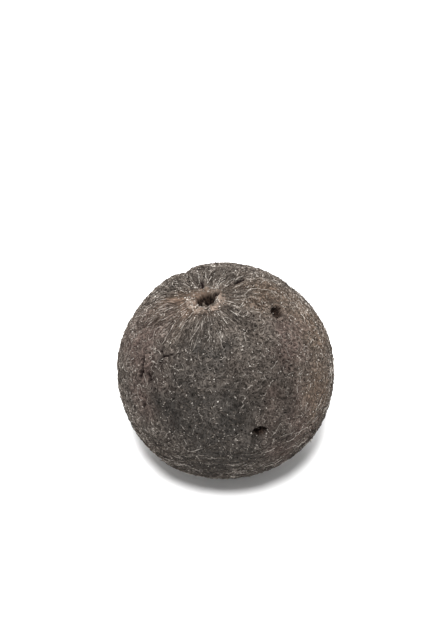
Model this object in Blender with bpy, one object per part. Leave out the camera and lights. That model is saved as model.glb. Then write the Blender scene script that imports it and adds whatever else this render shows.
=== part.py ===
"""A rudraksha seed dried in its husk: one solid, a nearly round nut 25 mm across.

The husk has shrunk into five shallow furrows that run down from the stem end. The stem
end is a dimple with pleats combed out of it, a puckered collar and the stem's pore. Two
pores show at the front and two more are at the back, with short cracks along the
furrows. A raised net of fibres covers the rest. The seed stands on a small flat spot.

Every feature is a height above or below a smooth body, worked out by a formula for each
point of a fine sphere, which is then thinned to the faces that the relief needs.
"""

import math

import bpy
import numpy as np

NAME = "rudraksha_seed"
MM = 0.001

# The body under the net is an ellipsoid with long, low swellings: a few at chosen places,
# as bearing and polar angle about the stem in degrees and height, and low waves all over.
BODY_WIDTH = 24.5 * MM
BODY_DEPTH = 24.4 * MM
BODY_HEIGHT = 24.2 * MM
MEAN_RADIUS = (BODY_WIDTH + BODY_DEPTH + BODY_HEIGHT) / 6
SWELLINGS = (
    (116.0, 61.0, 0.19 * MM),
    (174.0, 86.0, 0.06 * MM),
    (-139.0, 120.0, 0.19 * MM),
    (-46.0, 122.0, 0.17 * MM),
    (-62.0, 133.0, -0.08 * MM),
    (0.0, 95.0, -0.10 * MM),
    (32.0, 61.0, -0.22 * MM),
)
SWELLING_WIDTH = 4.3 * MM
WAVE_HEIGHT = 0.05 * MM
WAVE_LENGTH = 9.0 * MM

# The flat spot planes this much off the bottom, which lies on z = 0.
FLAT_SPOT_RADIUS = 2.3 * MM
FLAT_SPOT_CUT = FLAT_SPOT_RADIUS**2 / BODY_HEIGHT
MIDDLE_HEIGHT = BODY_HEIGHT / 2 - FLAT_SPOT_CUT

# The stem end leans a little from upright. Bearings about it are turned from the
# direction that is nearest to +X, and distances from it are arcs over the surface.
STEM_LEAN = math.radians(10.3)
STEM_BEARING = math.radians(174.6)
DIMPLE_DEPTH = 0.95 * MM
DIMPLE_RADIUS = 3.5 * MM

# The collar is a ring of lumps that bulges towards one bearing.
COLLAR_RADIUS = 1.86 * MM
COLLAR_BULGE = 0.34 * MM
COLLAR_BULGE_BEARING = math.radians(-166.0)
COLLAR_WIDTH = 0.37 * MM
COLLAR_HEIGHT = 0.46 * MM
COLLAR_LUMPS = 8
COLLAR_LUMP_SHARE = 0.36

# The pleats bend a little and are uneven in height.
PLEAT_COUNT = 26
PLEAT_HEIGHT = 0.18 * MM
PLEAT_START = 1.65 * MM
PLEAT_FULL = 2.9 * MM
PLEAT_FADE = 4.4 * MM
PLEAT_END = 8.0 * MM
PLEAT_SWAY = 0.07
PLEAT_BEND = 0.04
PLEAT_BEND_LENGTH = 1.3 * MM
PLEAT_UNEVEN = 0.25
PLEAT_UNEVEN_LENGTH = 1.7 * MM

# Each furrow is a wide valley with a narrow crease in it: bearing in degrees, and depth
# as a share of the deepest one.
FURROWS = ((109.5, 0.8), (40.8, 0.7), (-42.0, 0.45), (-138.0, 0.8), (-176.0, 0.75))
FURROW_DEPTH = 0.36 * MM
FURROW_WIDTH = 0.95 * MM
CREASE_DEPTH = 0.16 * MM
CREASE_WIDTH = 0.28 * MM
FURROW_START = 1.6 * MM
FURROW_FULL = 3.7 * MM
FURROW_FADE_START = 7.0 * MM
FURROW_FADE_END = 16.0 * MM
FURROW_FADE = 0.62
FURROW_TAIL = 26.5 * MM
FURROW_END = 33.0 * MM
FURROW_WANDER = 0.35 * MM
FURROW_WANDER_LENGTH = 2.6 * MM
FURROW_WANDER_TURN = 1.7
FURROW_WANDER_START = -1.85

# Pores: bearing and polar angle about the stem in degrees, half length and half width,
# turn of the long side in degrees, depth.
PORES = (
    (165.0, 1.0, 1.02 * MM, 0.90 * MM, 38.0, 1.4 * MM),
    (-11.0, 37.9, 0.70 * MM, 0.74 * MM, -20.0, 0.95 * MM),
    (-70.3, 80.7, 0.72 * MM, 0.58 * MM, 64.0, 0.8 * MM),
    (128.0, 62.0, 0.66 * MM, 0.55 * MM, 10.0, 1.0 * MM),
    (58.0, 98.0, 0.72 * MM, 0.58 * MM, 65.0, 1.1 * MM),
)
PORE_WALL = 0.30
PORE_LIP_HEIGHT = 0.10 * MM
PORE_LIP_RING = 1.45
PORE_LIP_WIDTH = 0.25

# The stub of the stem's bundle on the stem pore's floor.
GRAIN_PLACE = (150.0, 3.4)
GRAIN_RADIUS = 0.40 * MM
GRAIN_HEIGHT = 0.9 * MM

# Cracks: bearing and polar angle of each end, in degrees, half width, depth.
CRACKS = (
    ((28.0, 4.0), (33.0, 9.2), 0.16 * MM, 0.65 * MM),
    ((39.4, 19.2), (41.5, 27.4), 0.24 * MM, 0.60 * MM),
    ((103.9, 9.3), (103.6, 20.0), 0.22 * MM, 0.45 * MM),
    ((-138.2, 37.4), (-133.2, 39.4), 0.16 * MM, 0.40 * MM),
    ((-133.1, 38.9), (-133.4, 43.9), 0.24 * MM, 0.70 * MM),
    ((-132.6, 39.5), (-123.5, 36.5), 0.17 * MM, 0.34 * MM),
    ((-151.1, 44.3), (-145.9, 49.6), 0.14 * MM, 0.38 * MM),
    ((-146.3, 49.0), (-142.9, 57.3), 0.27 * MM, 0.85 * MM),
    ((-139.2, 51.2), (-134.1, 55.7), 0.23 * MM, 0.65 * MM),
    ((-136.4, 64.0), (-136.9, 72.0), 0.22 * MM, 0.42 * MM),
    ((-41.5, 104.5), (-34.5, 110.0), 0.26 * MM, 0.60 * MM),
    ((-176.0, 76.0), (-172.5, 84.0), 0.24 * MM, 0.55 * MM),
    ((104.0, 88.0), (106.5, 95.0), 0.24 * MM, 0.55 * MM),
)
CRACK_END_SHARE = 0.25

# The raised net: its cells are drawn larger than the real ones, so that the faces hold
# them. It thins out where a pore or a crack begins.
NET_CELL = 1.75 * MM
NET_STIR = 0.26
NET_HEIGHT = 0.25 * MM
NET_RIDGE_WIDTH = 0.42 * MM
NET_START = 4.0 * MM
NET_FULL = 7.0 * MM
NET_WARP = 0.24 * MM
NET_WARP_LENGTH = 1.9 * MM
NET_UNEVEN = 0.2
NET_UNEVEN_LENGTH = 4.0 * MM
NET_SEED = 7
RELIEF_BURIED_FROM = 0.1 * MM
RELIEF_BURIED_AT = 0.4 * MM

SPHERE_LEVEL = 8
KEPT_SHARE = 0.0352
POINTS_AT_ONCE = 4000
HUSK_COLOUR = (0.105, 0.085, 0.070, 1.0)
HUSK_ROUGHNESS = 0.85


def clear_scene():
    for obj in list(bpy.data.objects):
        bpy.data.objects.remove(obj)


def new_collection(name):
    collection = bpy.data.collections.new(name)
    bpy.context.scene.collection.children.link(collection)
    return collection


def unit(v):
    v = np.asarray(v, float)
    return v / np.linalg.norm(v, axis=-1, keepdims=True)


def smooth_step(x, low, high):
    t = np.clip((x - low) / (high - low), 0.0, 1.0)
    return t * t * (3.0 - 2.0 * t)


def stem_frame():
    """The stem's direction, and the two directions square to it that bearings start from."""
    flat = math.sin(STEM_LEAN)
    across = (flat * math.cos(STEM_BEARING), flat * math.sin(STEM_BEARING))
    stem = np.array([*across, math.cos(STEM_LEAN)])
    start = unit(np.array([1.0, 0.0, 0.0]) - stem[0] * stem)
    return stem, start, np.cross(stem, start)


def direction_at(bearing_deg, polar_deg):
    """The direction from the seed's middle at a bearing and polar angle about the stem."""
    stem, start, side = stem_frame()
    bearing = math.radians(bearing_deg)
    polar = math.radians(polar_deg)
    across = math.cos(bearing) * start + math.sin(bearing) * side
    return math.cos(polar) * stem + math.sin(polar) * across


def about_stem(directions):
    """Bearing about the stem, in radians, and arc from it, in metres, of each direction."""
    stem, start, side = stem_frame()
    bearing = np.arctan2(directions @ side, directions @ start)
    arc = MEAN_RADIUS * np.arccos(np.clip(directions @ stem, -1.0, 1.0))
    return bearing, arc


def waves(points, length, count, seed):
    """A smooth random field of about -1 to 1: plane waves of about one length, summed."""
    rng = np.random.default_rng(seed)
    total = np.zeros(len(points))
    for _ in range(count):
        heading = unit(rng.normal(size=3))
        pitch = 2.0 * math.pi / (length * rng.uniform(0.8, 1.3))
        total += np.sin(points @ heading * pitch + rng.uniform(0.0, 2.0 * math.pi))
    return total / math.sqrt(count)


def body(directions):
    half = np.array([BODY_WIDTH, BODY_DEPTH, BODY_HEIGHT]) / 2
    smooth = 1.0 / np.sqrt(((directions / half) ** 2).sum(axis=1))
    for bearing, polar, height in SWELLINGS:
        away = np.linalg.norm(directions - direction_at(bearing, polar), axis=1) * MEAN_RADIUS
        smooth += height * np.exp(-((away / SWELLING_WIDTH) ** 2))
    return smooth + WAVE_HEIGHT * waves(directions * MEAN_RADIUS, WAVE_LENGTH, 9, seed=3)


def dimple(arc):
    return -DIMPLE_DEPTH * np.exp(-((arc / DIMPLE_RADIUS) ** 2))


def collar(bearing, arc):
    """A puckered ring of lumps round the stem's pore."""
    lumps = np.cos(COLLAR_LUMPS * bearing + 0.9 * np.sin(2.0 * bearing))
    height = COLLAR_HEIGHT * (1.0 - COLLAR_LUMP_SHARE * (1.0 - lumps))
    radius = COLLAR_RADIUS + COLLAR_BULGE * np.cos(bearing - COLLAR_BULGE_BEARING)
    return height * np.exp(-(((arc - radius) / COLLAR_WIDTH) ** 2))


def pleats(bearing, arc):
    """Folds combed outwards from the collar, uneven in width and height."""
    turned = bearing + PLEAT_SWAY * np.sin(3.0 * bearing + 1.0)
    turned += PLEAT_BEND * np.sin(arc / PLEAT_BEND_LENGTH + 2.0 * bearing)
    uneven = 1.0 - PLEAT_UNEVEN * (1.0 - np.sin(5.0 * bearing + arc / PLEAT_UNEVEN_LENGTH))
    shown = smooth_step(arc, PLEAT_START, PLEAT_FULL)
    shown *= 1.0 - smooth_step(arc, PLEAT_FADE, PLEAT_END)
    return PLEAT_HEIGHT * np.cos(PLEAT_COUNT * turned) * uneven * shown


def furrows(bearing, arc):
    """Shallow valleys from the stem end down, each with a crease, deepest near the top."""
    total = np.zeros(len(arc))
    girth = MEAN_RADIUS * np.sin(arc / MEAN_RADIUS)
    shown = smooth_step(arc, FURROW_START, FURROW_FULL)
    shown *= 1.0 - FURROW_FADE * smooth_step(arc, FURROW_FADE_START, FURROW_FADE_END)
    shown *= 1.0 - smooth_step(arc, FURROW_TAIL, FURROW_END)
    for number, (degrees, share) in enumerate(FURROWS):
        phase = arc / FURROW_WANDER_LENGTH + FURROW_WANDER_TURN * number + FURROW_WANDER_START
        wander = FURROW_WANDER * np.sin(phase) * smooth_step(arc, FURROW_START, 2.0 * FURROW_FULL)
        turn = np.angle(np.exp(1j * (bearing - math.radians(degrees))))
        across = girth * turn - wander
        valley = FURROW_DEPTH * np.exp(-((across / FURROW_WIDTH) ** 2))
        crease = CREASE_DEPTH * np.exp(-((across / CREASE_WIDTH) ** 2))
        total -= share * (valley + crease) * shown * (np.abs(turn) < math.pi / 2)
    return total


def pores(directions):
    """Steep-walled round pits, each with a low lip."""
    total = np.zeros(len(directions))
    for bearing, polar, half_length, half_width, turn, depth in PORES:
        centre = direction_at(bearing, polar)
        along = unit(np.cross(centre, direction_at(bearing + 90.0, 90.0)))
        beside = np.cross(centre, along)
        angle = math.radians(turn)
        offset = (directions - centre) * MEAN_RADIUS
        x = offset @ (math.cos(angle) * along + math.sin(angle) * beside)
        y = offset @ (math.cos(angle) * beside - math.sin(angle) * along)
        ring = np.hypot(x / half_length, y / half_width)
        pit = -depth * (1.0 - smooth_step(ring, 1.0 - PORE_WALL, 1.0 + PORE_WALL))
        lip = PORE_LIP_HEIGHT * np.exp(-(((ring - PORE_LIP_RING) / PORE_LIP_WIDTH) ** 2))
        total += np.where(directions @ centre > 0.0, pit + lip, 0.0)
    return total


def stem_grain(directions):
    """The broken end of the stem's bundle, a small stub on the stem pore's floor."""
    away = np.linalg.norm(directions - direction_at(*GRAIN_PLACE), axis=1) * MEAN_RADIUS
    return GRAIN_HEIGHT * (1.0 - smooth_step(away, 0.35 * GRAIN_RADIUS, GRAIN_RADIUS))


def cracks(directions):
    """Narrow grooves with pointed ends."""
    total = np.zeros(len(directions))
    points = directions * MEAN_RADIUS
    for first, last, half_width, depth in CRACKS:
        start = MEAN_RADIUS * direction_at(*first)
        run = MEAN_RADIUS * direction_at(*last) - start
        along = np.clip((points - start) @ run / (run @ run), 0.0, 1.0)
        away = np.linalg.norm(points - start - along[:, None] * run, axis=1)
        rounded = np.sqrt(np.clip(1.0 - (2.0 * along - 1.0) ** 2, 0.0, 1.0))
        taper = CRACK_END_SHARE + (1.0 - CRACK_END_SHARE) * rounded
        wall = smooth_step(away, 0.15 * half_width, 1.5 * half_width * taper)
        total = np.minimum(total, -depth * taper * (1.0 - wall))
    return total


def net_middles():
    """The middles of the net's cells: points spread evenly over the sphere, then stirred."""
    cell_area = math.sqrt(3.0) / 2 * NET_CELL**2
    count = round(4.0 * math.pi * MEAN_RADIUS**2 / cell_area)
    rng = np.random.default_rng(NET_SEED)
    step = np.arange(count) + 0.5
    height = 1.0 - 2.0 * step / count
    turn = math.pi * (1.0 + math.sqrt(5.0)) * step
    ring = np.sqrt(1.0 - height**2)
    even = np.stack([ring * np.cos(turn), ring * np.sin(turn), height], axis=1)
    stir = rng.normal(scale=NET_STIR * NET_CELL, size=even.shape)
    return unit(even * MEAN_RADIUS + stir) * MEAN_RADIUS


def raised_net(directions, arc):
    """Ridges along the lines that lie midway between neighbouring cells."""
    points = directions * MEAN_RADIUS
    uneven = 1.0 - NET_UNEVEN * (1.0 - waves(points, NET_UNEVEN_LENGTH, 6, seed=31))
    stir = [waves(points, NET_WARP_LENGTH, 6, seed=20 + axis) for axis in range(3)]
    points = points + NET_WARP * np.stack(stir, axis=1)
    middles = net_middles()
    ridge = np.empty(len(points))
    for some in np.array_split(np.arange(len(points)), len(points) // POINTS_AT_ONCE + 1):
        square = ((points[some, None, :] - middles[None, :, :]) ** 2).sum(axis=2)
        nearest = np.sqrt(np.partition(square, 1, axis=1)[:, :2])
        ridge[some] = np.exp(-(((nearest[:, 1] - nearest[:, 0]) / NET_RIDGE_WIDTH) ** 2))
    return NET_HEIGHT * uneven * ridge * smooth_step(arc, NET_START, NET_FULL)


def seed_radius(directions):
    """How far the husk's surface is from the seed's middle in each direction."""
    bearing, arc = about_stem(directions)
    relief = raised_net(directions, arc) + pleats(bearing, arc) + collar(bearing, arc)
    hollow = pores(directions) + stem_grain(directions) + cracks(directions)
    covered = 1.0 - smooth_step(-hollow, RELIEF_BURIED_FROM, RELIEF_BURIED_AT)
    return body(directions) + dimple(arc) + furrows(bearing, arc) + relief * covered + hollow


def husk_material():
    material = bpy.data.materials.new("dried husk")
    material.use_nodes = True
    shader = material.node_tree.nodes["Principled BSDF"]
    shader.inputs["Base Color"].default_value = HUSK_COLOUR
    shader.inputs["Roughness"].default_value = HUSK_ROUGHNESS
    shader.inputs["Metallic"].default_value = 0.0
    return material


def move_to(obj, collection):
    for owner in list(obj.users_collection):
        owner.objects.unlink(obj)
    collection.objects.link(obj)


def shape_seed(mesh):
    """Moves each point of the sphere to the husk's surface, with the flat spot at z = 0."""
    flat = np.empty(len(mesh.vertices) * 3, np.float32)
    mesh.vertices.foreach_get("co", flat)
    directions = unit(flat.reshape(-1, 3))
    points = directions * seed_radius(directions)[:, None]
    points[:, 2] += MIDDLE_HEIGHT
    mesh.vertices.foreach_set("co", points.astype(np.float32).ravel())
    mesh.update()


def floor_cutter(cutters):
    """A block whose top face, at z = 0, planes off the flat spot."""
    side = 2.0 * BODY_WIDTH
    bpy.ops.mesh.primitive_cube_add(size=side, location=(0.0, 0.0, -side / 2))
    block = bpy.context.active_object
    block.name = "floor_cutter"
    block.hide_render = True
    block.display_type = "WIRE"
    move_to(block, cutters)
    return block


def make_seed(parts, cutters):
    bpy.ops.mesh.primitive_ico_sphere_add(subdivisions=SPHERE_LEVEL, radius=1.0)
    seed = bpy.context.active_object
    seed.name = "seed"
    move_to(seed, parts)
    shape_seed(seed.data)
    seed.data.materials.append(husk_material())
    thin = seed.modifiers.new("keep the faces the relief needs", "DECIMATE")
    thin.ratio = KEPT_SHARE
    flat = seed.modifiers.new("flat spot", "BOOLEAN")
    flat.operation = "DIFFERENCE"
    flat.object = floor_cutter(cutters)


def main():
    clear_scene()
    parts = new_collection(NAME)
    cutters = new_collection("cutters")
    make_seed(parts, cutters)


main()
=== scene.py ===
"""The looks of a rudraksha seed dried in its husk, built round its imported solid.

The husk is one fine skin with the solid's own form: body, furrows, dimple, collar, pleats,
pores, cracks and wide net. Its net and pleats are lower than the solid's, because a finer,
curly net is raised on it, and a net of threads, loose fibres and crumbs lie on that.
"""

import math
from functools import partial

import bmesh
import bpy
import numpy as np
from mathutils import Euler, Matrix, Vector


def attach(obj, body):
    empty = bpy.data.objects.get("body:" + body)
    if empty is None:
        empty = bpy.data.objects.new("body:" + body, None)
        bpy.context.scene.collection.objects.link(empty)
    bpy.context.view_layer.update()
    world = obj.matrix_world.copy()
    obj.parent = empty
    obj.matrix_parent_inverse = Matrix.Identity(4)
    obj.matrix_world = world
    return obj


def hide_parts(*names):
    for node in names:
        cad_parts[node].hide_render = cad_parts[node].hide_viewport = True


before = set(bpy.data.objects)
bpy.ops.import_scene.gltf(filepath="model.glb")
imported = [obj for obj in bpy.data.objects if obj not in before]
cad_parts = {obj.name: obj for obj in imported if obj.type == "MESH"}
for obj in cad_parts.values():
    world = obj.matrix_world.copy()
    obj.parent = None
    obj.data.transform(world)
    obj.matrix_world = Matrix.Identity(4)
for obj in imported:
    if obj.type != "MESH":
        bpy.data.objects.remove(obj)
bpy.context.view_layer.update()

MM = 0.001
DEGREE = math.pi / 180

# The body under the net, in the solid's own sizes: an ellipsoid, swellings at given places
# as bearing and polar angle about the stem in degrees and height, and low waves all over.
BODY_WIDTH = 24.5 * MM
BODY_DEPTH = 24.4 * MM
BODY_HEIGHT = 24.2 * MM
MEAN_RADIUS = (BODY_WIDTH + BODY_DEPTH + BODY_HEIGHT) / 6
SWELLINGS = (
    (116.0, 61.0, 0.19 * MM),
    (174.0, 86.0, 0.06 * MM),
    (-139.0, 120.0, 0.19 * MM),
    (-46.0, 122.0, 0.17 * MM),
    (-62.0, 133.0, -0.08 * MM),
    (0.0, 95.0, -0.10 * MM),
    (32.0, 61.0, -0.22 * MM),
)
SWELLING_WIDTH = 4.3 * MM
WAVE_HEIGHT = 0.05 * MM
WAVE_LENGTH = 9.0 * MM
WAVE_COUNT = 9
FLAT_SPOT_RADIUS = 2.3 * MM
FLAT_SPOT_CUT = FLAT_SPOT_RADIUS**2 / BODY_HEIGHT
MIDDLE = Vector((0.0, 0.0, BODY_HEIGHT / 2 - FLAT_SPOT_CUT))

# The stem end: bearings turn about it from the direction nearest to +X. A sway bunches lumps
# or gathers together: how far, and how many times on the way round.
STEM_LEAN = 10.3 * DEGREE
STEM_BEARING = 174.6 * DEGREE
DIMPLE_DEPTH = 0.95 * MM
DIMPLE_RADIUS = 3.5 * MM
COLLAR_RADIUS = 1.86 * MM
COLLAR_BULGE = 0.34 * MM
COLLAR_BULGE_BEARING = -166.0 * DEGREE
COLLAR_WIDTH = 0.37 * MM
COLLAR_HEIGHT = 0.46 * MM
COLLAR_LUMPS = 8
COLLAR_LUMP_SHARE = 0.36
COLLAR_LUMP_SWAY = (0.9, 2)
COLLAR_PUCKERS = 23
COLLAR_PUCKER_HEIGHT = 0.07 * MM
COLLAR_PUCKER_SWAY = (1.5, 3)
PLEAT_COUNT = 26
PLEAT_HEIGHT = 0.13 * MM
PLEAT_START = 1.65 * MM
PLEAT_FULL = 2.9 * MM
PLEAT_FADE = 4.4 * MM
PLEAT_END = 8.0 * MM
PLEAT_SWAY = 0.07
PLEAT_SWAY_TIMES = 3
PLEAT_SWAY_START = 1.0
PLEAT_BEND = 0.04
PLEAT_BEND_TIMES = 2
PLEAT_BEND_LENGTH = 1.3 * MM
PLEAT_UNEVEN = 0.25
PLEAT_UNEVEN_TIMES = 5
PLEAT_UNEVEN_LENGTH = 1.7 * MM
# A shadow line painted just outside the collar: how far out, how wide, and its bearing.
COLLAR_SHADOW_OUTSIDE = 0.45 * MM
COLLAR_SHADOW_WIDTH = 0.15 * MM
COLLAR_SHADOW_BEARING = -125.0 * DEGREE

# Furrows: bearing in degrees, and depth as a share of the deepest one.
FURROWS = ((109.5, 0.8), (40.8, 0.7), (-42.0, 0.45), (-138.0, 0.8), (-176.0, 0.75))
FURROW_DEPTH = 0.36 * MM
FURROW_WIDTH = 0.95 * MM
CREASE_DEPTH = 0.16 * MM
CREASE_WIDTH = 0.28 * MM
FURROW_START = 1.6 * MM
FURROW_FULL = 3.7 * MM
FURROW_FADE_START = 7.0 * MM
FURROW_FADE_END = 16.0 * MM
FURROW_FADE = 0.62
FURROW_TAIL = 26.5 * MM
FURROW_END = 33.0 * MM
FURROW_WANDER = 0.35 * MM
FURROW_WANDER_LENGTH = 2.6 * MM
FURROW_WANDER_TURN = 1.7
FURROW_WANDER_START = -1.85

# Pores: bearing and polar angle about the stem in degrees, half length and half width
# in mm, turn of the long side in degrees, depth in mm.
PORES = (
    (165.0, 1.0, 1.02, 0.90, 38.0, 1.4),
    (-11.0, 37.9, 0.70, 0.74, -20.0, 0.95),
    (-70.3, 80.7, 0.72, 0.58, 64.0, 0.8),
    (128.0, 62.0, 0.66, 0.55, 10.0, 1.0),
    (58.0, 98.0, 0.72, 0.58, 65.0, 1.1),
)
PORE_WALL = 0.25
PORE_LIP_HEIGHT = 0.10 * MM
PORE_LIP_RING = 1.45
PORE_LIP_WIDTH = 0.25
BEHIND = 100.0
GRAIN_PLACE = (150.0, 3.4)
GRAIN_RADIUS = 0.40 * MM
GRAIN_HEIGHT = 0.9 * MM
GRAIN_FLAT = 0.35

# Cracks: bearing and polar angle of each end, in degrees, half width and depth in mm.
CRACKS = (
    ((28.0, 4.0), (33.0, 9.2), 0.16, 0.65),
    ((39.4, 19.2), (41.5, 27.4), 0.24, 0.60),
    ((103.9, 9.3), (103.6, 20.0), 0.22, 0.45),
    ((-138.2, 37.4), (-133.2, 39.4), 0.16, 0.40),
    ((-133.1, 38.9), (-133.4, 43.9), 0.24, 0.70),
    ((-132.6, 39.5), (-123.5, 36.5), 0.17, 0.34),
    ((-151.1, 44.3), (-145.9, 49.6), 0.14, 0.38),
    ((-146.3, 49.0), (-142.9, 57.3), 0.27, 0.85),
    ((-139.2, 51.2), (-134.1, 55.7), 0.23, 0.65),
    ((-136.4, 64.0), (-136.9, 72.0), 0.22, 0.42),
    ((-41.5, 104.5), (-34.5, 110.0), 0.26, 0.60),
    ((-176.0, 76.0), (-172.5, 84.0), 0.24, 0.55),
    ((104.0, 88.0), (106.5, 95.0), 0.24, 0.55),
)
CRACK_END_SHARE = 0.25
CRACK_FLOOR = 0.15
CRACK_MOUTH = 1.5
CLEAR_FROM = 0.20 * MM
CLEAR_TO = 0.50 * MM
CLEAR_RING_FROM = 1.12
CLEAR_RING_TO = 1.4
RAGGED_LENGTH = 0.8 * MM
RAGGED = 0.06 * MM

# The solid's wide net: the fine skin keeps its places and lowers it, because it carries the
# curly net as well. It isn't raised where a pore or crack is deeper than the buried depths.
NET_CELL = 1.75 * MM
NET_STIR = 0.26
NET_HEIGHT = 0.08 * MM
NET_RIDGE_WIDTH = 0.42 * MM
NET_START = 4.0 * MM
NET_FULL = 7.0 * MM
NET_WARP = 0.24 * MM
NET_WARP_LENGTH = 1.9 * MM
NET_SEED = 7
RELIEF_BURIED_FROM = 0.1 * MM
RELIEF_BURIED_AT = 0.4 * MM

# The curly net: worm-like ridges, combed out from the stem and tangled further off. Widths
# are shares of the noise that draws them, and the shift parts the two tangled layers.
CURL_PITCH = 0.60 * MM
COMB_PITCH = 0.42 * MM
FINE_PITCH = 0.38 * MM
FINE_COMB_PITCH = 0.28 * MM
CURL_WIDTH = 0.065
CURL_HEIGHT = 0.12 * MM
CURL_ROUGHNESS = 0.4
CURL_DISTORTION = 0.35
SECOND_CURLS = 0.75
SECOND_SHIFT = 0.37
RIDGE_PATCH = 2.4 * MM
RIDGE_UNEVEN = (0.3, 0.65, 0.6, 1.0)
NOISE_MEAN = 0.5

# How the fibres lie: combed away from the stem, tangled further off, then across the flank.
COMB_RADIUS = 6.0 * MM
COMB_STRETCH = 4.5
COMB_FADE = 3.6 * MM
COMB_END = 8.0 * MM
COMB_SIDE = 0.25
COMB_SIDE_BEARING = 175.0 * DEGREE
LAID_ACROSS_FROM = 15.0 * MM
LAID_ACROSS_AT = 20.0 * MM
LAID_ACROSS_TIDY = 0.6
MERIDIAN_STRETCH = 0.25
NEVER_ZERO = 1e-9
ON_COLLAR_TO = 2.1 * MM
OFF_COLLAR_FROM = 2.9 * MM
LONG_FIBRES_FROM = 2.5 * MM
LONG_FIBRES_AT = 3.6 * MM
ONE_SIDE = (0.3, 0.9)
COLLAR_SHADOW_SIDE = (0.2, 0.8)
FOOT_CLEAR = 0.3 * MM

# Depths from which a pore, a crack and a furrow are painted darker with shade, and at which the painted
# shade is darkest.
PORE_SHADE_DEPTHS = (0.04 * MM, 0.22 * MM)
CRACK_SHADE_DEPTHS = (0.08 * MM, 0.28 * MM)
FURROW_SHADE_DEPTHS = (0.08 * MM, 0.5 * MM)
COLLAR_TINT_WIDTH = 0.9 * MM

# Stained places: bearing and polar angle about the stem in degrees, radius in mm.
GREY_STAINS = (
    (-93, 34, 2.4),
    (-108, 59, 4.2),
    (-89, 74, 5.4),
    (-95, 96, 5),
    (78, 112, 6),
    (150, 96, 3.5),
)
TAN_STAINS = (
    (-30, 83, 3.6),
    (-4, 60, 3.6),
    (8, 34, 3.2),
    (-166, 11.5, 2.4),
    (120, 88, 6),
    (-150, 118, 3.5),
)
PURPLE_STAINS = (
    (-164, 43, 3.8),
    (-147, 50, 3),
    (-137, 66, 2.6),
    (-121, 66, 0.9),
    (-23, 49, 2),
    (-46, 76, 2.6),
    (-53, 98, 3.4),
    (-30, 52, 1.8),
    (95, 70, 5),
)

# How light the whole husk is against its colours, and spots that change it: partly painted light
# and shade (a lighter top and upper-left flank, a darker left edge and front, painted shade in the
# third pore), partly rubbed pale and soiled dark places. Each has its bearing, polar angle, radius
# in mm, and how much lighter or darker, as a power of e.
HUSK_TONE = 0.83
PAINTED_LIGHT_AND_SOIL = (
    (-60, 55, 3.8, -0.50),
    (-34, 64, 3.2, -0.30),
    (-55, 70, 3.2, -0.28),
    (-57, 88, 2, 0.07),
    (-59, 102, 2.6, -0.30),
    (-70.3, 80.7, 0.9, -0.60),
    (-137, 78, 2.4, -0.20),
    (8, 30, 3, -0.22),
    (-50, 36, 2.6, -0.30),
    (-112, 42, 2.4, -0.22),
    (100, 14, 2.2, -0.18),
    (-126, 62, 3.4, -0.21),
    (-120, 88, 3.4, -0.26),
    (-177, 25, 3.4, 0.22),
    (180, 33, 3, 0.17),
    (-143, 32, 2.4, -0.10),
    (43, 11, 2, -0.08),
    (-80, 17, 3, 0.10),
    (-158, 52, 3.6, -0.30),
    (100, 70, 4, -0.25),
    (60, 108, 4, 0.22),
    (150, 118, 4, -0.20),
    (-172, 122, 3.5, 0.18),
)
BARE_SLOPE = (-165, 14, 2)
STAIN_STIR_LENGTH = 3.2 * MM
STAIN_STIR = 1.1 * MM

# Soft clouds in the husk's finish: length of the pattern, detail, the range of its noise that
# counts, and what it gives from there to there.
HUSK_CLOUDS = {
    "drift": (7.0 * MM, 2.0, 0.38, 0.64, 0.0, 1.0),
    "mottle": (0.6 * MM, 3.0, 0.38, 0.62, 0.0, 0.35),
    "pits": (0.28 * MM, 2.0, 0.48, 0.56, 0.0, 1.0),
    "threads shown": (0.6 * MM, 1.0, 0.36, 0.56, 0.3, 1.0),
    "crests shown": (2.4 * MM, 1.0, 0.3, 0.65, 0.9, 1.0),
    "fine crests shown": (1.5 * MM, 1.0, 0.35, 0.65, 0.5, 0.75),
    "warm": (0.4 * MM, 2.0, 0.38, 0.6, 0.2, 0.85),
}

# Layers of colour over the husk's ground, over its pale crests and over the whole: mark or
# cloud, its share, and its colour.
GROUND = "231e1a"
GROUND_LAYERS = (
    ("drift", 1.0, "27211d"),
    ("tan", 0.8, "362b24"),
    ("purple", 1.0, "2a2120"),
    ("grey", 1.0, "22201e"),
    ("mottle", 1.0, "181411"),
    ("pits", 1.0, "080605"),
)
PALE = "787069"
PALE_LAYERS = (
    ("drift", 1.0, "7e746c"),
    ("tan", 1.0, "847264"),
    ("purple", 1.0, "796962"),
    ("grey", 1.0, "5f5b57"),
)
# Round the stem end, the dark line outside the collar is a painted shadow and the furrows' darkening is
# painted shade; the collar's tints and the bare slope are the husk's own colour.
STEM_LAYERS = (
    ("collar_tint", "warm", "76665b"),
    ("collar_crest", "warm", "9a897c"),
    ("painted_collar_shadow", 0.8, "1d1311"),
    ("bare", 0.75, "6a584c"),
    ("valley", 0.35, "201917"),
)
# Inside the pores: a dark colour that is painted shade, and lighter dust mottled over it.
PORE_SHADE_AND_DUST = ("1b1411", "3d322b")
# Cracks are painted dark red-brown by their depth, partly their own colour and partly painted shade; the
# stub is the stem's pale grain.
CRACK_LAYERS = (("crack", 1.0, "170e0e"), ("stub", 1.0, "6a6057"))
FIBRE_STAINS = (("grey", 0.55, "37332f"), ("tan", 0.28, "736252"), ("purple", 0.45, "62524b"))

# Fibre and pulp: darkest, middle and palest colour, where the middle one lies, and mottling.
# Matted fibre lies low and is darker; dried pulp is pale and chalky.
DRIED_FIBRE = ("241f1b", "6c635b", "dcd3c9", 0.72, 0.65)
MATTED_FIBRE = ("201b18", "4e4741", "9e948a", 0.72, 0.75)
DRIED_PULP = ("6a6058", "aaa096", "ede6dd", 0.5, 0.2)
FIBRE_MOTTLES = (0.42, 0.6, 0.0)

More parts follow.
